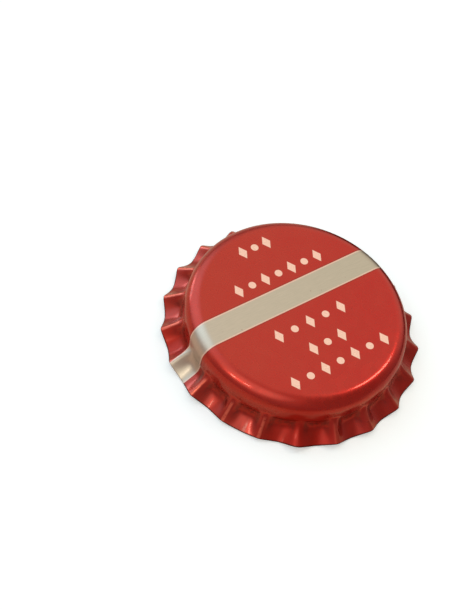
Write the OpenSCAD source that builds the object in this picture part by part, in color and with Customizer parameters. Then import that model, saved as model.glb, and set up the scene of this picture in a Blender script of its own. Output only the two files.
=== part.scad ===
// Crown cap: a fluted tinplate shell pressed from one round blank, with a moulded
// sealing liner. It stands on the foot of its skirt, panel up. +Z is the cap's axis
// and a flute tip lies on +X.

/* [Shell] */
// Diameter over the tips of the flutes
crown_d = 32.1; // [31:0.1:33.5]
// Height from the foot of the skirt to the top of the panel
crown_h = 6; // [5.6:0.1:7]
// Thickness of the tinplate
sheet_t = 0.24; // [0.2:0.01:0.3]

/* [Neck and shoulder] */
// Inside diameter of the straight neck that closes round a bottle's mouth
neck_d = 26.75; // [26.2:0.05:27.2]
// Length of the straight neck between the shoulder and the flutes
neck_len = 1.1; // [0.7:0.1:1.4]
// Outside radius of the shoulder between the panel and the neck
shoulder_r = 1.9; // [1.6:0.1:2.4]

/* [Flutes] */
// Number of flutes round the skirt
flute_count = 21; // [18:1:24]
// How far the hollows between the flutes stay inside the tips, at the edge
hollow_depth = 0.6; // [0.3:0.05:0.9]
// How much higher the flute tips end than the hollows between them
tip_rise = 0.8; // [0.3:0.1:1.2]
// Share of the way down the skirt where the hollows turn outwards
flare_start = 0.55; // [0.4:0.05:0.7]
// How far the hollows are pressed in under the neck
hollow_set_in = 0.14; // [0:0.02:0.24]

/* [Knock] */
// Share of its normal reach that is left to a flute that has been knocked in
knocked_reach = 0.35; // [0.2:0.05:1]
// How far the hollows on either side of the knocked flutes have gone in, at the edge
knocked_in = 0.2; // [0:0.05:0.3]

/* [Liner] */
// Thickness of the liner's raised sealing bead, under the panel
bead_t = 1.3; // [1:0.1:1.5]
// Width of the bead, from its foot on the disc to the rim
bead_w = 2.5; // [2:0.1:4]
// Thickness of the liner's flat centre disc
disc_t = 0.5; // [0.3:0.05:0.8]
// Clearance between the liner's rim and the shell round it
liner_gap = 0.06; // [0.03:0.01:0.15]
// Radius on the lip of the bead
lip_r = 0.3; // [0.1:0.05:0.4]

/* [Hidden] */
$fn = 168;

// Flutes that have been knocked in, counted from +X, and the hollows that went in with
// them. A hollow has the number of the flute before it. The next flute keeps its reach,
// but its crest has been pressed flat.
knocked_flutes = [12, 13];
knocked_hollows = [11, 13];
flattened_flutes = [14];

tip_r = crown_d / 2;
neck_in_r = neck_d / 2;
neck_out_r = neck_in_r + sheet_t;
panel_r = neck_out_r - shoulder_r;
shoulder_z = crown_h - shoulder_r;
neck_z = shoulder_z - neck_len;
panel_under_z = crown_h - sheet_t;
hollow_r = tip_r - hollow_depth;
// Softness of the turn from the upright part of a hollow to its straight flare
flare_softness = 0.14;
// Outward run of a hollow over the skirt's height, at its slope where it meets the edge
edge_flare = (hollow_r - neck_out_r) * (1 - flare(0.99)) / 0.01 + hollow_set_in;
// The cut edge is square to the flared sheet, so its inner corner is the foot
foot_z = sheet_t * edge_flare / norm([edge_flare, neck_z - sheet_t]);

// The skirt's root is set a little inside the neck's own wall, to join it cleanly
root_step = 0.02;
root_depth = 0.3;
arc_steps = 8;

// Skirt grid: rows from the neck to the edge, and columns on each side of a crest
skirt_rows = 8;
half_columns = 5;
pitch = 360 / flute_count;

// Crest shape: soft and narrow at the neck, and open scallops at the edge
neck_crest = [0.45, 4.6];
edge_crest = [0.12, 1.75];
flattened_crest = [0.5, 1.8];
// Powers of the way down: a crest's shape changes late, and its line is nearly straight
crest_change = 3;
crest_bow = 1.1;
flattened_bow = 1.9;
// Share of the way down over which the hollows are pressed in
set_in_run = 0.12;

// ---- Outlines shared by the shell and the liner ----

// Points on an arc about a centre, from one angle to another
function arc(centre, r, from, to, steps = arc_steps) =
    [for (i = [0:steps])
        let (a = from + (to - from) * i / steps)
        centre + r * [cos(a), sin(a)]];

// ---- Skirt surface ----

// Distance from the nearest crest, 0 on the crest and 1 in the hollow
function off_crest(v) = abs(v) <= 1 ? abs(v) : 2 - abs(v);

// How far the sheet is lifted towards the crest: 1 on it, 0 in the hollow
function lift(d, shape) =
    let (soft = shape[0], span = sqrt(1 + soft * soft) - soft)
    pow(1 - (sqrt(d * d + soft * soft) - soft) / span, shape[1]);

// How far out a hollow has flared: 0 at the neck, late and then straight to 1 at the edge
function flare(s) = (turned(s) - turned(0)) / (turned(1) - turned(0));
function turned(s) = norm([s - flare_start, flare_softness]) + s - flare_start;

function is_one_of(number, list) = len(search(number, list)) > 0;
function reach(flute) = is_one_of(flute, knocked_flutes) ? knocked_reach : 1;

// Radius of a flute's tip, and of the edge in the hollow on that side of it
function tip_radius(flute) = hollow_r + (tip_r - hollow_r) * reach(flute);
function bay_radius(flute, v) =
    let (bay = (v > 0 ? flute : flute + flute_count - 1) % flute_count)
    hollow_r - (is_one_of(bay, knocked_hollows) ? knocked_in : 0);

// Outer face of the skirt at s (0 at the neck, 1 at the edge) and at v across a flute
// (-1 to 1, with the crest at 0)
function skirt_point(flute, v, s) =
    let (
        d = off_crest(v),
        flat = is_one_of(flute, flattened_flutes),
        end_crest = flat ? flattened_crest : edge_crest,
        crest = neck_crest + (end_crest - neck_crest) * pow(s, crest_change),
        edge_z = foot_z + tip_rise * reach(flute) * lift(d, end_crest),
        set_in = hollow_set_in * min(s / set_in_run, 1) * (1 - s),
        low = (bay_radius(flute, v) - neck_out_r) * flare(s) - set_in,
        high = (tip_radius(flute) - neck_out_r) * pow(s, flat ? flattened_bow : crest_bow),
        r = neck_out_r + low + (high - low) * lift(d, crest),
        a = pitch * (flute + v / 2)
    )
    [r * cos(a), r * sin(a), neck_z + (edge_z - neck_z) * s];

// Unit vector out of the skirt's outer face
function skirt_normal(flute, v, s) =
    let (
        dv = skirt_point(flute, v + 0.01, s) - skirt_point(flute, v - 0.01, s),
        ds = skirt_point(flute, v, s) - skirt_point(flute, v, s - 0.01),
        n = cross(ds, dv)
    )
    n / norm(n);

// Columns are closer together on the crest
function column_v(j) = sign(j) * pow(abs(j) / half_columns, 1.4);

// The columns of one row, as [flute, v] pairs once round the skirt
columns = [for (flute = [0:flute_count - 1], j = [1 - half_columns:half_columns])
    [flute, column_v(j)]];

function root_ring(r, z) =
    [for (c = columns) let (a = pitch * (c[0] + c[1] / 2)) [r * cos(a), r * sin(a), z]];

function outer_row(i) =
    [for (c = columns) skirt_point(c[0], c[1], i / skirt_rows)];

function inner_row(i) =
    let (s = i / skirt_rows)
    [for (c = columns) skirt_point(c[0], c[1], s) - sheet_t * skirt_normal(c[0], c[1], s)];

// The two triangles of each cell between one ring of points and the next
function band(upper, lower, count) =
    [for (j = [0:count - 1])
        let (k = (j + 1) % count)
        each [[upper + j, lower + k, lower + j], [upper + j, upper + k, lower + k]]];

module skirt() {
    n = len(columns);
    outer_root_r = neck_out_r - root_step;
    inner_root_r = neck_in_r + root_step;
    // Rings run down the outer face, round the cut edge and up the inner face
    rings = [
        root_ring(outer_root_r, neck_z + root_depth),
        root_ring(outer_root_r, neck_z - root_step),
        for (i = [1:skirt_rows]) outer_row(i),
        for (i = [skirt_rows:-1:1]) inner_row(i),
        root_ring(inner_root_r, neck_z - root_step),
        root_ring(inner_root_r, neck_z + root_depth),
    ];
    faces = [for (i = [0:len(rings) - 1]) each band(i * n, ((i + 1) % len(rings)) * n, n)];
    polyhedron(points = [for (ring = rings) each ring], faces = faces);
}

// ---- Sub-parts ----

// Panel, shoulder and neck are one turned form, and the skirt carries on from the neck
module crown_shell() {
    centre = [panel_r, shoulder_z];
    inner_r = shoulder_r - sheet_t;
    color("firebrick")
    union() {
        rotate_extrude()
        polygon(concat(
            [[0, crown_h]],
            arc(centre, shoulder_r, 90, 0),
            [[neck_out_r, neck_z], [neck_in_r, neck_z]],
            arc(centre, inner_r, 0, 90),
            [[0, panel_under_z]]
        ));
        skirt();
    }
}

// The liner fills the shell's corner, shifted in by its clearance, and its bead hangs
// below the centre disc
module sealing_liner() {
    fill_r = shoulder_r - sheet_t;
    centre = [panel_r - liner_gap, shoulder_z];
    disc_z = panel_under_z - disc_t;
    bead_z = panel_under_z - bead_t;
    lip_z = bead_z + lip_r;
    rim_angle = asin((lip_z - shoulder_z) / fill_r);
    rim_r = centre[0] + fill_r * cos(rim_angle);
    foot_r = rim_r - bead_w;
    crest_r = rim_r - lip_r;
    slope_w = (bead_w - lip_r) / 2;
    color("antiquewhite")
    rotate_extrude()
    polygon(concat(
        [[0, panel_under_z], [0, disc_z]],
        // The bead rises from the disc in an easy curve
        [for (i = [0:arc_steps])
            let (a = 180 * i / arc_steps)
            [foot_r + slope_w * i / arc_steps,
             disc_z + (bead_z - disc_z) * (1 - cos(a)) / 2]],
        arc([crest_r, lip_z], lip_r, -90, 0),
        arc(centre, fill_r, rim_angle, 90)
    ));
}

crown_shell();
sealing_liner();
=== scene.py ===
import bmesh
import bpy
import math
from mathutils import Matrix, Vector


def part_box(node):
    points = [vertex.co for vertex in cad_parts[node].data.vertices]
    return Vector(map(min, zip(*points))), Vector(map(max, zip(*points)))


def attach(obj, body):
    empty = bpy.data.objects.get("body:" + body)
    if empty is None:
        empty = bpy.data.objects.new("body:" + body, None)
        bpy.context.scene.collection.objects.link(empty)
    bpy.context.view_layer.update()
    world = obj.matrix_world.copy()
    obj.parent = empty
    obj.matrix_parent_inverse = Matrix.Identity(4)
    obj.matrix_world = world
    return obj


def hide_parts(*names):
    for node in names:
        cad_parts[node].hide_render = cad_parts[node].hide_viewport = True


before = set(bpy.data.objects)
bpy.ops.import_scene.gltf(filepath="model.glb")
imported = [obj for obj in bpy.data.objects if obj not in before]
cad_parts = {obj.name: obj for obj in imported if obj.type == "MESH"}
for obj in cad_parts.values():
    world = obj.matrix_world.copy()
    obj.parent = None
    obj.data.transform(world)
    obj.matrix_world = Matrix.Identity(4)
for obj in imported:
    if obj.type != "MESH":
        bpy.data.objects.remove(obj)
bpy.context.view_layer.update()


# ---- Crown shell -------------------------------------------------------------------
# The cap's metal part is one round blank of tinplate, printed flat and then pressed down
# over a die. It has a flat panel, a round shoulder and a short straight neck, and its
# skirt is gathered into 21 flutes, which close round a bottle's mouth.

mm = 0.001
crown_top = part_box("crown_shell")[1]
tip_r = crown_top.x
crown_h = crown_top.z
sheet = 0.24 * mm
arris = 0.04 * mm
neck_inside_r = 13.375 * mm
neck_r = neck_inside_r + sheet
shoulder_r = 1.9 * mm
neck_len = 1.1 * mm
panel_r = neck_r - shoulder_r
shoulder_z = crown_h - shoulder_r
neck_z = shoulder_z - neck_len

# Flutes are counted from +X, and a hollow has the number of the flute before it. Two
# flutes have been knocked in, with the hollows beside them, and the next one is flattened.
flutes = 21
hollow_depth = 0.6 * mm
hollow_r = tip_r - hollow_depth
tip_rise = 0.8 * mm
knocked_flutes = (12, 13)
knocked_reach = 0.35
pushed_hollows = (11, 13)
pushed_in = 0.2 * mm
flattened_flute = 14

# The hollows go in a little under the neck, then turn outwards in a straight flare. The
# run, the start and the softness are shares of the way down the skirt.
hollow_set_in = 0.14 * mm
set_in_run = 0.2
flare_start = 0.55
flare_softness = 0.14
flare_end_slope = 2.15

# A crest has a softness and a sharpness, and its line down the skirt has a bow. The
# flattened one stands so low that it never gets the crests' pale line of rubbed wear and painted
# highlight.
neck_crest = (0.45, 4.6)
edge_crest = (0.12, 1.75)
crest_bow = 1.1
flattened_crest = (0.5, 1.8)
flattened_bow = 1.9
flattened_lift = 0.85

# The cut edge is square to the flared sheet, so its inner corner is the foot
edge_flare = (hollow_r - neck_r) * flare_end_slope + hollow_set_in
foot_z = sheet * edge_flare / math.hypot(edge_flare, neck_z - sheet)

panel_rings = 4
shoulder_steps = 14
neck_steps = 3
skirt_rows = 26
flute_steps = 24


def lift(across, softness, sharpness):
    """How far the sheet is lifted towards the crest of a flute: 1 on it, 0 in the hollow."""
    span = math.hypot(1, softness) - softness
    fall = (math.hypot(across, softness) - softness) / span
    return (1 - fall) ** sharpness


def flare(down):
    """How far out a hollow has flared: 0 at the neck, late and then straight to 1 at the edge."""
    top, here, edge = (math.hypot(at - flare_start, flare_softness) + at - flare_start
                       for at in (0, down, 1))
    return (here - top) / (edge - top)


def fluted(place):
    """Where a point of the plain straight skirt goes when the flutes are pressed into it,
    with how far down the skirt it lies and how far it is lifted towards a crest."""
    down = (neck_z - place.z) / neck_z
    turn = math.atan2(place.y, place.x)
    pitches = turn / (2 * math.pi / flutes)
    flute = round(pitches) % flutes
    hollow = math.floor(pitches) % flutes
    across = abs(pitches - round(pitches)) * 2

    reach = knocked_reach if flute in knocked_flutes else 1
    flattened = flute == flattened_flute
    end_crest, bow = (flattened_crest, flattened_bow) if flattened else (edge_crest, crest_bow)
    softness, sharpness = (a + (b - a) * down ** 3 for a, b in zip(neck_crest, end_crest))
    lifted = lift(across, softness, sharpness)

    gone_in = min(down / set_in_run, 1)
    set_in = hollow_set_in * gone_in ** 2 * (3 - 2 * gone_in) * (1 - down)
    bay_r = hollow_r - (pushed_in if hollow in pushed_hollows else 0)
    low = (bay_r - neck_r) * flare(down) - set_in
    high = (hollow_r + (tip_r - hollow_r) * reach - neck_r) * down ** bow
    r = neck_r + low + (high - low) * lifted
    edge_z = foot_z + tip_rise * reach * lift(across, *end_crest)
    z = neck_z + (edge_z - neck_z) * down

    marked_lift = lifted * flattened_lift if flattened else lifted
    return Vector((r * math.cos(turn), r * math.sin(turn), z)), Vector((down, marked_lift, 0))


def blank_radius(place):
    """How far from the centre of the flat blank a point of the plain form came from."""
    r = math.hypot(place.x, place.y)
    if place.z > shoulder_z:
        return min(r, panel_r) + shoulder_r * math.atan2(max(r - panel_r, 0), place.z - shoulder_z)
    return panel_r + shoulder_r * math.pi / 2 + shoulder_z - place.z


def drawn_on(bm, vertex, step):
    """Extrudes one vertex of an outline, moves the new one by step, and gives it and its edge."""
    new = bmesh.ops.extrude_vert_indiv(bm, verts=[vertex])
    bmesh.ops.translate(bm, verts=new["verts"], vec=step)
    return new["verts"][0], new["edges"][0]


def bent_on(bm, vertex, centre, side, angle, steps):
    """Carries an outline on in an arc from one vertex, and gives the arc's end. The side is 1
    for an arc that turns down from the panel and -1 for one that turns up towards it."""
    arc = bmesh.ops.spin(bm, geom=[vertex], cent=centre, axis=(0, side, 0), angle=angle, steps=steps)
    return [e for e in arc["geom_last"] if isinstance(e, bmesh.types.BMVert)][0]


def turned_round(bm, steps):
    """Turns the whole outline once round the cap's axis into a smooth skin."""
    bmesh.ops.spin(bm, geom=bm.verts[:] + bm.edges[:], cent=(0, 0, 0), axis=(0, 0, 1),
                   angle=2 * math.pi, steps=steps, use_merge=True)
    bmesh.ops.remove_doubles(bm, verts=bm.verts[:], dist=0.001 * mm)
    bmesh.ops.recalc_face_normals(bm, faces=bm.faces[:])
    for face in bm.faces:
        face.smooth = True


def made_piece(bm, name):
    """Makes the shape an object, with its place in its mesh."""
    mesh = bpy.data.meshes.new(name)
    bm.to_mesh(mesh)
    bm.free()
    piece = bpy.data.objects.new(name, mesh)
    bpy.context.scene.collection.objects.link(piece)
    return piece


bm = bmesh.new()
centre = bm.verts.new((0, 0, crown_h))
panel_end, panel_line = drawn_on(bm, centre, (panel_r, 0, 0))
neck_top = bent_on(bm, panel_end, (panel_r, 0, shoulder_z), 1, math.pi / 2, shoulder_steps)
neck_end, neck_line = drawn_on(bm, neck_top, (0, 0, -neck_len))
skirt_line = drawn_on(bm, neck_end, (0, 0, -neck_z))[1]
for line, pieces in ((panel_line, panel_rings), (neck_line, neck_steps), (skirt_line, skirt_rows)):
    bmesh.ops.subdivide_edges(bm, edges=[line], cuts=pieces - 1)
turned_round(bm, flutes * flute_steps)

# Each point carries its place on the flat blank, in mm, and how the tools have worked it
blank_place = bm.verts.layers.float_vector.new("blank_place")
press = bm.verts.layers.float_vector.new("press")
for v in bm.verts:
    turn = math.atan2(v.co.y, v.co.x)
    r = blank_radius(v.co)
    v[blank_place] = Vector((r * math.cos(turn), r * math.sin(turn), 0)) / mm
    if v.co.z < neck_z:
        v.co, v[press] = fluted(v.co)

# An open skin has no inside, so its normals may all have come out pointing down
pressed_shell = made_piece(bm, "pressed_shell")
shell_mesh = pressed_shell.data
if shell_mesh.polygons[0].normal.z < 0:
    shell_mesh.flip_normals()

# The sheet's thickness goes inwards, and its cut edge has a narrow rounded arris
wall = pressed_shell.modifiers.new("sheet", "SOLIDIFY")
wall.thickness = sheet
wall.offset = -1
wall.use_even_offset = True
wall.material_offset = 1
wall.material_offset_rim = 2
shorn = pressed_shell.modifiers.new("shorn_edge", "BEVEL")
shorn.limit_method = "ANGLE"
shorn.angle_limit = math.radians(55)
shorn.width = arris
shorn.segments = 2


def feed(tree, socket, value):
    """Gives a socket another node's output, or a number, a vector or a colour of its own."""
    if isinstance(value, bpy.types.NodeSocket):
        tree.links.new(value, socket)
    else:
        socket.default_value = value


def new_material(name):
    """A material, its node tree and its shader."""
    material = bpy.data.materials.new(name)
    material.use_nodes = True
    tree = material.node_tree
    return material, tree, tree.nodes["Principled BSDF"]


def dress(tree, node, values):
    """Feeds the inputs of a shader or of another node by their names."""
    for name, value in values.items():
        feed(tree, node.inputs[name], value)


def new_group(name, inputs, outputs):
    """An empty node group, the sockets it is given by name and the node that takes its results."""
    group = bpy.data.node_groups.new(name, "ShaderNodeTree")
    for side, sockets in (("INPUT", inputs), ("OUTPUT", outputs)):
        for socket_name, kind in sockets.items():
            group.interface.new_socket(name=socket_name, in_out=side, socket_type="NodeSocket" + kind)
    return group, group.nodes.new("NodeGroupInput").outputs, group.nodes.new("NodeGroupOutput")


def group_in(tree, group, **values):
    """The results of the group where it is used with those values."""
    node = tree.nodes.new("ShaderNodeGroup")
    node.node_tree = group
    for name, value in values.items():
        feed(tree, node.inputs[name], value)
    return node.outputs


def worked(tree, operation, *values):
    """The result of a Math node."""
    node = tree.nodes.new("ShaderNodeMath")
    node.operation = operation
    for socket, value in zip(node.inputs, values):
        feed(tree, socket, value)
    return node.outputs["Value"]


def times(tree, product, *factors):
    """All of the values multiplied together, as masks that have to hold at once."""
    for factor in factors:
        product = worked(tree, "MULTIPLY", product, factor)
    return product


def rising(tree, value, low, high):
    """0 at low and below, 1 at high and above, and smooth between."""
    node = tree.nodes.new("ShaderNodeMapRange")
    node.interpolation_type = "SMOOTHSTEP"
    dress(tree, node, {"Value": value, "From Min": low, "From Max": high})
    return node.outputs["Result"]


def falling(tree, value, low, high):
    """1 at low and below, 0 at high and above, and smooth between."""
    return worked(tree, "SUBTRACT", 1.0, rising(tree, value, low, high))


def between(tree, share, low, high):
    """A number that goes from low to high as share goes from 0 to 1."""
    node = tree.nodes.new("ShaderNodeMix")
    for index, value in ((0, share), (2, low), (3, high)):
        feed(tree, node.inputs[index], value)
    return node.outputs[0]


def painted(tree, share, under, paint):
    """The colour under, with a share of the paint laid over it."""
    node = tree.nodes.new("ShaderNodeMix")
    node.data_type = "RGBA"
    for index, value in ((0, share), (6, under), (7, paint)):
        feed(tree, node.inputs[index], value)
    return node.outputs[2]


def noise(tree, place, scale, detail, roughness):
    """Soft uneven shades between 0 and 1."""
    node = tree.nodes.new("ShaderNodeTexNoise")
    dress(tree, node, {"Vector": place, "Scale": scale, "Detail": detail, "Roughness": roughness})
    return node.outputs["Fac"]


def measured(tree, operation, place, other):
    """The DISTANCE of a place from another, or its DOT_PRODUCT with a direction."""
    node = tree.nodes.new("ShaderNodeVectorMath")
    node.operation = operation
    feed(tree, node.inputs[0], place)
    feed(tree, node.inputs[1], other)
    return node.outputs["Value"]


def mapped(tree, place, setting, value):
    """The place after one setting of a Mapping node: Location, Rotation or Scale."""
    node = tree.nodes.new("ShaderNodeMapping")
    dress(tree, node, {"Vector": place, setting: value})
    return node.outputs["Vector"]


def parts(tree, place):
    """The first two parts of a vector."""
    node = tree.nodes.new("ShaderNodeSeparateXYZ")
    feed(tree, node.inputs["Vector"], place)
    return node.outputs["X"], node.outputs["Y"]


def carried(tree, name):
    """What each point of the mesh carries under that name."""
    node = tree.nodes.new("ShaderNodeAttribute")
    node.attribute_name = name
    return node.outputs["Vector"]


def waved(tree, height, strength, depth):
    """The normal of a surface with small waves of that depth."""
    node = tree.nodes.new("ShaderNodeBump")
    dress(tree, node, {"Height": height, "Strength": strength, "Distance": depth})
    return node.outputs["Normal"]


def srgb(*shades):
    """A colour given in 0 to 255, as the linear light that a shader takes."""
    return tuple(((shade / 255 + 0.055) / 1.055) ** 2.4 for shade in shades) + (1,)


# Wear that all of the cap's finishes share, on places in mm: a slow cloud, specks of dirt
# and the height of small waves
sheet_wear, given, worn = new_group(
    "sheet_wear", {"Place": "Vector"}, {"Cloud": "Float", "Specks": "Float", "Waves": "Float"})
tree = sheet_wear
place = given["Place"]
speck_middles = tree.nodes.new("ShaderNodeTexVoronoi")
dress(tree, speck_middles, {"Vector": place, "Scale": 0.75})
speck_size = times(tree, noise(tree, place, 0.9, 1, 0.5), 0.1)
inside_speck = worked(tree, "SUBTRACT", speck_size, speck_middles.outputs["Distance"])
ripples = times(tree, noise(tree, place, 2.2, 3, 0.6), 0.03)
dress(tree, worn, {
    "Cloud": rising(tree, noise(tree, place, 0.35, 3, 0.55), 0.3, 0.7),
    "Specks": rising(tree, inside_speck, -0.015, 0.02),
    "Waves": worked(tree, "ADD", noise(tree, place, 0.22, 2, 0.5), ripples)})

# One row of printed marks, lozenges and discs by turns, in mm on the flat blank. The run
# counts the marks from the row's start, and two marks' middles are a pitch apart.
lozenge_w, lozenge_h, disc_d = 1.15, 1.9, 0.95
row_of_marks, given, printed = new_group(
    "row_of_marks",
    {"Along": "Float", "Across": "Float", "Middle": "Float", "Offset": "Float",
     "Count": "Float", "Pitch": "Float"},
    {"Mask": "Float"})
tree = row_of_marks
from_middle = worked(tree, "SUBTRACT", given["Along"], given["Middle"])
run = worked(tree, "ADD", worked(tree, "DIVIDE", from_middle, given["Pitch"]),
             worked(tree, "DIVIDE", given["Count"], 2.0))
number = worked(tree, "FLOOR", run)
off_mark = worked(tree, "SUBTRACT", worked(tree, "SUBTRACT", run, number), 0.5)
beside = times(tree, off_mark, given["Pitch"])
above = worked(tree, "SUBTRACT", given["Across"], given["Offset"])
lozenge = worked(tree, "ADD", worked(tree, "DIVIDE", worked(tree, "ABSOLUTE", beside), lozenge_w / 2),
                 worked(tree, "DIVIDE", worked(tree, "ABSOLUTE", above), lozenge_h / 2))
square = worked(tree, "ADD", times(tree, beside, beside), times(tree, above, above))
disc = worked(tree, "DIVIDE", worked(tree, "SQRT", square), disc_d / 2)
mark = falling(tree, between(tree, worked(tree, "MODULO", number, 2.0), lozenge, disc), 0.94, 1.06)
begun = worked(tree, "GREATER_THAN", run, 0.0)
unfinished = worked(tree, "LESS_THAN", run, given["Count"])
dress(tree, printed, {"Mask": times(tree, mark, begun, unfinished)})

# Outside, printed before pressing: red lacquer over the bare tin, which stays open in one
# straight stripe, and rows of pale marks on either side of it
outside, tree, skin = new_material("printed_lacquer")
place = carried(tree, "blank_place")
stripe_turn = math.radians(2.46)
along, across = parts(tree, mapped(tree, place, "Rotation", (0, 0, -stripe_turn)))

# The stripe, between two places in mm across the sheet. It has a hair of pale undercoat
# inside each edge, and a darker line of thick lacquer outside it.
stripe_low, stripe_high = 0.33, 3.64
middle = (stripe_low + stripe_high) / 2
half = (stripe_high - stripe_low) / 2
off_middle = worked(tree, "ABSOLUTE", worked(tree, "SUBTRACT", across, middle))
bare = falling(tree, off_middle, half - 0.03, half + 0.03)
undercoat = times(tree, rising(tree, off_middle, half - 0.22, half - 0.12), bare, 0.55)
thick_line = falling(tree, off_middle, half + 0.06, half + 0.2)

# Each row of marks has its offset across the sheet, its middle, its count and its pitch
rows = ((9.85, 0.15, 3, 1.75), (5.35, 0.6, 7, 1.95), (-2.15, 0, 5, 2.3), (-5.45, 0.2, 3, 2.1),
        (-8.3, 0, 7, 2.2))
marks = 0.0
for offset, row_middle, count, pitch in rows:
    row = group_in(tree, row_of_marks, Along=along, Across=across, Middle=row_middle, Offset=offset,
                   Count=count, Pitch=pitch)
    marks = worked(tree, "MAXIMUM", row["Mask"], marks)

# On the skirt the tops of the hollows under the neck get patches of painted shade, and the crests are
# painted pale, with rubbed wear and a painted highlight.
# Painted shade also lies in the corners where a crest rises out of the hollows.
down, lifted = parts(tree, carried(tree, "press"))
fine = noise(tree, place, 1.6, 4, 0.6)
on_skirt = rising(tree, down, 0.0, 0.12)
hollow_top = times(tree, rising(tree, down, 0.03, 0.2), falling(tree, down, 0.3, 0.72),
                   falling(tree, lifted, 0.1, 0.6))
painted_hollow_shade = times(tree, hollow_top, between(tree, rising(tree, fine, 0.4, 0.6), 0.05, 0.75))
# Painted shade in the corners at the feet of the crests
painted_crest_foot_shade = times(tree, rising(tree, lifted, 0.06, 0.2), falling(tree, lifted, 0.4, 0.7),
                rising(tree, down, 0.05, 0.2), falling(tree, down, 0.5, 0.85),
                rising(tree, fine, 0.3, 0.55))
# Along the cut edge the lacquer is painted almost black: partly chipped lacquer, partly a painted
# shadow under the edge
at_edge = rising(tree, down, 0.955, 0.99)

# Towards one side of the sheet there is painted shade: the lacquer is a deeper red, the tin
# is duller and the crests' pale line is weaker
shaded_side_direction = (0.83, -0.55, 0)
on_shaded_side = rising(tree, measured(tree, "DOT_PRODUCT", place, shaded_side_direction), -14.0, 14.0)
# The crests' pale line is partly rubbed wear and partly a painted highlight, weaker on the shaded
# side
crest = times(tree, rising(tree, lifted, 0.9, 0.99), rising(tree, down, 0.1, 0.3),
              rising(tree, fine, 0.25, 0.5), between(tree, on_shaded_side, 1.0, 0.15))

# Two scuffed patches: the middle of each on the blank, and how far out it is whole and ends
scuff = 0.0
for patch, whole, end in (((-9.6, -16.6, 0), 3.4, 6.6), ((-17.8, 6.2, 0), 1.2, 3.0)):
    near = falling(tree, measured(tree, "DISTANCE", place, patch), whole, end)
    scuff = worked(tree, "MAXIMUM", near, scuff)
scuff = times(tree, scuff, rising(tree, fine, 0.2, 0.45))

red = (0.49, 0.026, 0.014, 1)
deep_and_shaded_red = (0.48, 0.003, 0.001, 1)
skirt_red = (0.32, 0.012, 0.005, 1)
stain_and_shade_red = (0.2, 0.012, 0.008, 1)
edge_red = (0.06, 0.006, 0.004, 1)
rubbed_and_highlit_red = (0.9, 0.2, 0.13, 1)
tin = srgb(202, 199, 191)
dull_and_shaded_tin = srgb(183, 183, 174)
cream = srgb(255, 218, 207)

wear = group_in(tree, sheet_wear, Place=place)
# Painted shade on one side deepens the red, with a little of the slow cloud
lacquer = painted(tree, between(tree, 0.25, on_shaded_side, wear["Cloud"]), red, deep_and_shaded_red)
# The skirt is a darker red than the panel
lacquer = painted(tree, times(tree, on_skirt, 0.4), lacquer, skirt_red)
# Painted shade in the hollow tops, and in the corners at the crests' feet
lacquer = painted(tree, painted_hollow_shade, lacquer, stain_and_shade_red)
lacquer = painted(tree, times(tree, painted_crest_foot_shade, 0.6), lacquer, stain_and_shade_red)
lacquer = painted(tree, times(tree, crest, 0.7), lacquer, rubbed_and_highlit_red)
lacquer = painted(tree, times(tree, at_edge, 0.85), lacquer, edge_red)
lacquer = painted(tree, times(tree, thick_line, 0.4), lacquer, stain_and_shade_red)
grain = noise(tree, mapped(tree, place, "Scale", (0.6, 7, 1)), 1.0, 3, 0.7)
# The tin is painted duller on the shaded side, and along its grain
metal = painted(tree, between(tree, 0.4, on_shaded_side, rising(tree, grain, 0.3, 0.7)), tin, dull_and_shaded_tin)
metal = painted(tree, undercoat, metal, cream)
colour = painted(tree, bare, lacquer, metal)
colour = painted(tree, marks, colour, cream)
colour = painted(tree, times(tree, wear["Specks"], 0.35), colour, stain_and_shade_red)

# Pale ink hides the metal's shine, handling dulls the lacquer, and the bare tin is duller
ink = worked(tree, "MAXIMUM", marks, undercoat)
shine = between(tree, ink, between(tree, bare, 0.75, 0.9), 0.15)
handled = times(tree, rising(tree, noise(tree, place, 0.8, 2, 0.5), 0.42, 0.7), 0.16)
rough = worked(tree, "ADD", between(tree, on_skirt, 0.21, 0.25), times(tree, wear["Cloud"], 0.05))
rough = worked(tree, "ADD", between(tree, scuff, rough, 0.42), handled)
waves = waved(tree, wear["Waves"], 0.25, 0.06 * mm)
dress(tree, skin, {
    "Base Color": colour,
    "Metallic": shine,
    "Roughness": between(tree, bare, rough, 0.38),
    "Coat Weight": between(tree, scuff, between(tree, hollow_top, 0.8, 0.4), 0.3),
    "Coat Roughness": between(tree, on_skirt, 0.1, 0.16),
    "Normal": waves,
    "Coat Normal": waves})

# Inside: a clear gold lacquer against rust
gold = srgb(204, 178, 112)
dull_gold = srgb(182, 154, 90)
brown_speck = srgb(120, 92, 50)
inside, tree, skin = new_material("gold_lacquer")
wear = group_in(tree, sheet_wear, Place=carried(tree, "blank_place"))
clouded = painted(tree, wear["Cloud"], gold, dull_gold)
dress(tree, skin, {
    "Base Color": painted(tree, wear["Specks"], clouded, brown_speck),
    "Metallic": 0.9,
    "Roughness": between(tree, wear["Cloud"], 0.24, 0.34),
    "Coat Weight": 0.4,
    "Coat Roughness": 0.12,
    "Normal": waved(tree, wear["Waves"], 0.25, 0.06 * mm)})

# Cut edge: the blank is stamped out after it is coated, so this is bare steel, gone dark
dark_steel = srgb(74, 58, 56)
grey_steel = srgb(118, 104, 98)
edge, tree, skin = new_material("shorn_steel")
bitten = rising(tree, noise(tree, carried(tree, "blank_place"), 3.0, 4, 0.65), 0.35, 0.7)
dress(tree, skin, {"Base Color": painted(tree, bitten, dark_steel, grey_steel), "Metallic": 0.8,
                   "Roughness": 0.5})

for material in (outside, inside, edge):
    shell_mesh.materials.append(material)

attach(pressed_shell, "root")
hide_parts("crown_shell")


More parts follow.
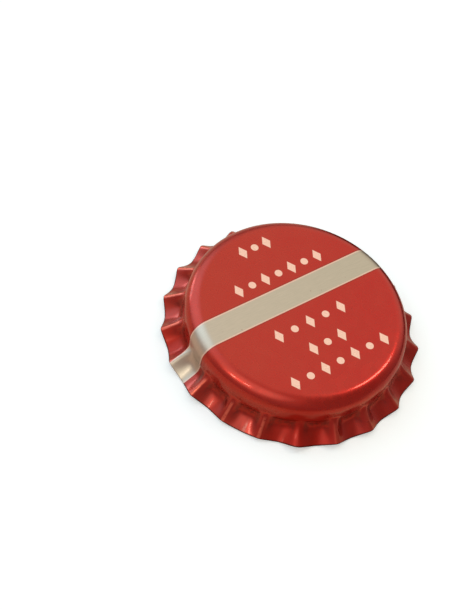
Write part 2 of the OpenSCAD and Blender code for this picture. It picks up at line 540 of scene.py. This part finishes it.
# ---- Liner -------------------------------------------------------------------------
# A drop of soft plastic is stamped inside the shell and stays bonded under its panel: a
# thin disc with a raised bead round it, which fills the corner under the shoulder and
# seals on the bottle's lip.

liner_gap = 0.06 * mm
disc_t = 0.5 * mm
bead_t = 1.3 * mm
bead_w = 2.5 * mm
disc_z = crown_h - sheet - disc_t
bead_z = crown_h - sheet - bead_t
lip_r = 0.3 * mm
lip_z = bead_z + lip_r
fill_r = shoulder_r - sheet
fill_x = panel_r - liner_gap
rim_angle = math.asin((lip_z - shoulder_z) / fill_r)
rim_r = fill_x + fill_r * math.cos(rim_angle)
bead_foot_r = rim_r - bead_w
slope_run = (bead_w - lip_r) / 2

# The stamp leaves a very shallow round step in the middle
stamp_r = 4.6 * mm
stamp_step = 0.05 * mm
stamp_slope = 3 * stamp_step

disc_rings = 4
slope_steps = 14
lip_steps = 8
fill_steps = 10
round_steps = 168

bm = bmesh.new()
centre = bm.verts.new((0, 0, disc_z + stamp_step))
stamp_end, stamp_line = drawn_on(bm, centre, (stamp_r, 0, 0))
disc_start = drawn_on(bm, stamp_end, (stamp_slope, 0, -stamp_step))[0]
slope_end, disc_line = drawn_on(bm, disc_start, (bead_foot_r - stamp_r - stamp_slope, 0, 0))
for step in range(slope_steps):
    before, after = ((1 - math.cos(math.pi * at / slope_steps)) / 2 for at in (step, step + 1))
    fall = (bead_z - disc_z) * (after - before)
    slope_end = drawn_on(bm, slope_end, (slope_run / slope_steps, 0, fall))[0]
bead_end, bead_line = drawn_on(bm, slope_end, (rim_r - lip_r - slope_end.co.x, 0, 0))
lip_end = bent_on(bm, bead_end, (rim_r - lip_r, 0, lip_z), -1, math.pi / 2, lip_steps)
fill_end = bent_on(bm, lip_end, (fill_x, 0, shoulder_z), -1, math.pi / 2 - rim_angle, fill_steps)
drawn_on(bm, fill_end, (-fill_x, 0, 0))
bmesh.ops.subdivide_edges(bm, edges=[stamp_line, disc_line, bead_line], cuts=disc_rings - 1)
turned_round(bm, round_steps)
stamped_liner = made_piece(bm, "stamped_liner")

# The compound is pale and a little translucent, and pinker on the bead
disc_white = srgb(206, 198, 184)
bead_pink = srgb(224, 200, 186)
dusty_white = srgb(190, 182, 168)
compound, tree, skin = new_material("liner_compound")
where = tree.nodes.new("ShaderNodeTexCoord").outputs["Object"]
place = mapped(tree, where, "Scale", (1 / mm, 1 / mm, 1 / mm))
wear = group_in(tree, sheet_wear, Place=place)
radius = measured(tree, "DISTANCE", place, (0, 0, 0))
on_bead = rising(tree, radius, bead_foot_r / mm, bead_foot_r / mm + 2)
clean = painted(tree, on_bead, disc_white, bead_pink)
dress(tree, skin, {
    "Base Color": painted(tree, times(tree, wear["Cloud"], 0.35), clean, dusty_white),
    "Roughness": between(tree, wear["Cloud"], 0.34, 0.46),
    "Subsurface Weight": 0.15,
    "Subsurface Radius": (0.6 * mm, 0.5 * mm, 0.4 * mm),
    "Subsurface Scale": 1.0,
    "Normal": waved(tree, wear["Waves"], 0.4, 0.08 * mm)})
stamped_liner.data.materials.append(compound)

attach(stamped_liner, "root")
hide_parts("sealing_liner")


# ---- Floor -------------------------------------------------------------------------
# The cap stands on a wide sheet of white paper. The camera sees the paper evenly lit. The
# cap mirrors it dimmer and warmer, with painted light and shade on it: a painted pool of light near
# the cap, painted shade further off, painted light towards the left and the back, and a painted dark
# corner behind it on the right.

view_azimuth = -136.28
floor_half = 1.5


def facing(azimuth, elevation=0):
    """The direction from the cap at that azimuth and elevation, in degrees."""
    a, e = math.radians(azimuth), math.radians(elevation)
    return Vector((math.cos(a) * math.cos(e), math.sin(a) * math.cos(e), math.sin(e)))


bm = bmesh.new()
bmesh.ops.create_grid(bm, x_segments=1, y_segments=1, size=floor_half)
floor = made_piece(bm, "floor")

paper, tree, skin = new_material("pale_paper")
dress(tree, skin, {"Base Color": (0.7, 0.86, 1, 1), "Roughness": 0.9, "Emission Color": (1, 1, 1, 1),
                   "Emission Strength": 0.41})

near_painted_light = (0.76, 0.55, 0.41, 1)
far_painted_shade = (0.37, 0.26, 0.22, 1)
left_painted_light = (0.72, 0.52, 0.43, 1)
back_painted_light = (0.6, 0.47, 0.42, 1)
painted_dark_corner = (0.03, 0.02, 0.02, 1)
near_middle = (1.4 * mm, -1.4 * mm, 0)
left_azimuth = 140.3
back_azimuth = 25
where = tree.nodes.new("ShaderNodeTexCoord").outputs["Object"]


def out_to(azimuth, start, end):
    """0 up to the start and 1 from the end, both measured across the floor that way."""
    return rising(tree, measured(tree, "DOT_PRODUCT", where, facing(azimuth)), start, end)


# Painted light and shade on the paper, which only rays other than the camera's see
far_off = rising(tree, measured(tree, "DISTANCE", where, near_middle), 22 * mm, 45 * mm)
mirrored_light_and_shade = painted(tree, far_off, near_painted_light, far_painted_shade)
mirrored_light_and_shade = painted(tree, out_to(left_azimuth, 6 * mm, 16 * mm), mirrored_light_and_shade, left_painted_light)
mirrored_light_and_shade = painted(tree, out_to(back_azimuth, -2 * mm, 6 * mm), mirrored_light_and_shade, back_painted_light)
in_corner = times(tree, out_to(view_azimuth + 180, 15 * mm, 22 * mm),
                  out_to(view_azimuth + 90, -6 * mm, 5 * mm))
mirrored_light_and_shade = painted(tree, in_corner, mirrored_light_and_shade, painted_dark_corner)
mirrored = tree.nodes.new("ShaderNodeBsdfDiffuse")
feed(tree, mirrored.inputs["Color"], mirrored_light_and_shade)
swap = tree.nodes.new("ShaderNodeMixShader")
feed(tree, swap.inputs["Fac"], tree.nodes.new("ShaderNodeLightPath").outputs["Is Camera Ray"])
feed(tree, swap.inputs[1], mirrored.outputs["BSDF"])
feed(tree, swap.inputs[2], skin.outputs["BSDF"])
feed(tree, tree.nodes["Material Output"].inputs["Surface"], swap.outputs["Shader"])
floor.data.materials.append(paper)


# ---- Light -------------------------------------------------------------------------
# The lacquer mirrors the whole room, so the world is a dim warm room with soft bright and
# dark patches in it. Three small lamps, which stand for bright windows, make the sharp
# glints on the shoulder and the flutes.

low_room = (0.34, 0.23, 0.2, 1)
high_room = (0.72, 0.55, 0.43, 1)
cool_window = (1.3, 1.47, 1.51, 1)
warm_wall = (0.94, 0.8, 0.61, 1)
dim_wall = (0.31, 0.21, 0.16, 1)
lit_ceiling = (1.46, 1.28, 1.0, 1)
low_window = (3.2, 3.0, 3.0, 1)
pale_below = (0.95, 0.92, 0.88, 1)
plain_backdrop = (0.95, 0.95, 0.95, 1)

world = bpy.data.worlds.new("studio")
world.use_nodes = True
bpy.context.scene.world = world
tree = world.node_tree
direction = tree.nodes.new("ShaderNodeTexCoord").outputs["Generated"]

# Each patch is laid over those before it. It has the azimuth and elevation of its middle,
# the cosines of the angles from there at which it begins and is whole, and its colour.
room = low_room
for azimuth, elevation, begins, whole, patch in (
        (0, 90, 0.05, 0.95, high_room),
        (110, 38, 0.7, 1.04, cool_window),
        (18, 42, 0.68, 0.96, warm_wall),
        (-62, 35, 0.55, 1.0, dim_wall),
        (200, 57, 0.85, 1.0, lit_ceiling),
        (104, 3, 0.975, 0.998, low_window),
        (0, -90, 0.05, 0.5, pale_below)):
    cosine = measured(tree, "DOT_PRODUCT", direction, facing(azimuth, elevation))
    room = painted(tree, rising(tree, cosine, begins, whole), room, patch)
seen = tree.nodes.new("ShaderNodeLightPath").outputs["Is Camera Ray"]
feed(tree, tree.nodes["Background"].inputs["Color"], painted(tree, seen, room, plain_backdrop))

# Each lamp's name, azimuth, elevation, width, height, power and colour
lamp_distance = 0.5
for name, azimuth, elevation, width, height, power, glow in (
        ("right_window", -5, 54, 0.05, 0.15, 0.24, (1.0, 0.85, 0.62)),
        ("left_window", 184, 43, 0.035, 0.04, 0.08, (1.0, 0.8, 0.6)),
        ("front_window", -162, 49, 0.03, 0.03, 0.042, (1.0, 0.85, 0.65))):
    lamp = bpy.data.lights.new(name, "AREA")
    lamp.shape = "RECTANGLE"
    lamp.size = width
    lamp.size_y = height
    lamp.energy = power
    lamp.color = glow
    stand = bpy.data.objects.new(name, lamp)
    bpy.context.scene.collection.objects.link(stand)
    stand.location = facing(azimuth, elevation) * lamp_distance
    stand.rotation_mode = "QUATERNION"
    stand.rotation_quaternion = facing(azimuth, elevation).to_track_quat("Z", "Y")


# ---- Camera ------------------------------------------------------------------------
# The camera stands close by and looks down on the cap at a slant, a little turned on its
# own axis. Its focal length is given in pixels of a frame 610 pixels high.

view_elevation = 54.08
view_roll = 17.77
view_distance = 169.15 * mm
aim = Vector((-3.82, 6.65, 0)) * mm
lens_pixels = 1374.9
frame_height = 610

camera = bpy.data.cameras.new("camera")
camera.sensor_width = 36
camera.lens = lens_pixels * camera.sensor_width / frame_height
camera.clip_start = 0.01
tripod = bpy.data.objects.new("camera", camera)
bpy.context.scene.collection.objects.link(tripod)
back = facing(view_azimuth, view_elevation)
level = back.to_track_quat("Z", "Y").to_matrix()
roll = Matrix.Rotation(math.radians(view_roll), 3, "Z")
tripod.matrix_world = Matrix.Translation(aim + back * view_distance) @ (level @ roll).to_4x4()
bpy.context.scene.camera = tripod
bpy.context.scene.view_settings.view_transform = "Standard"
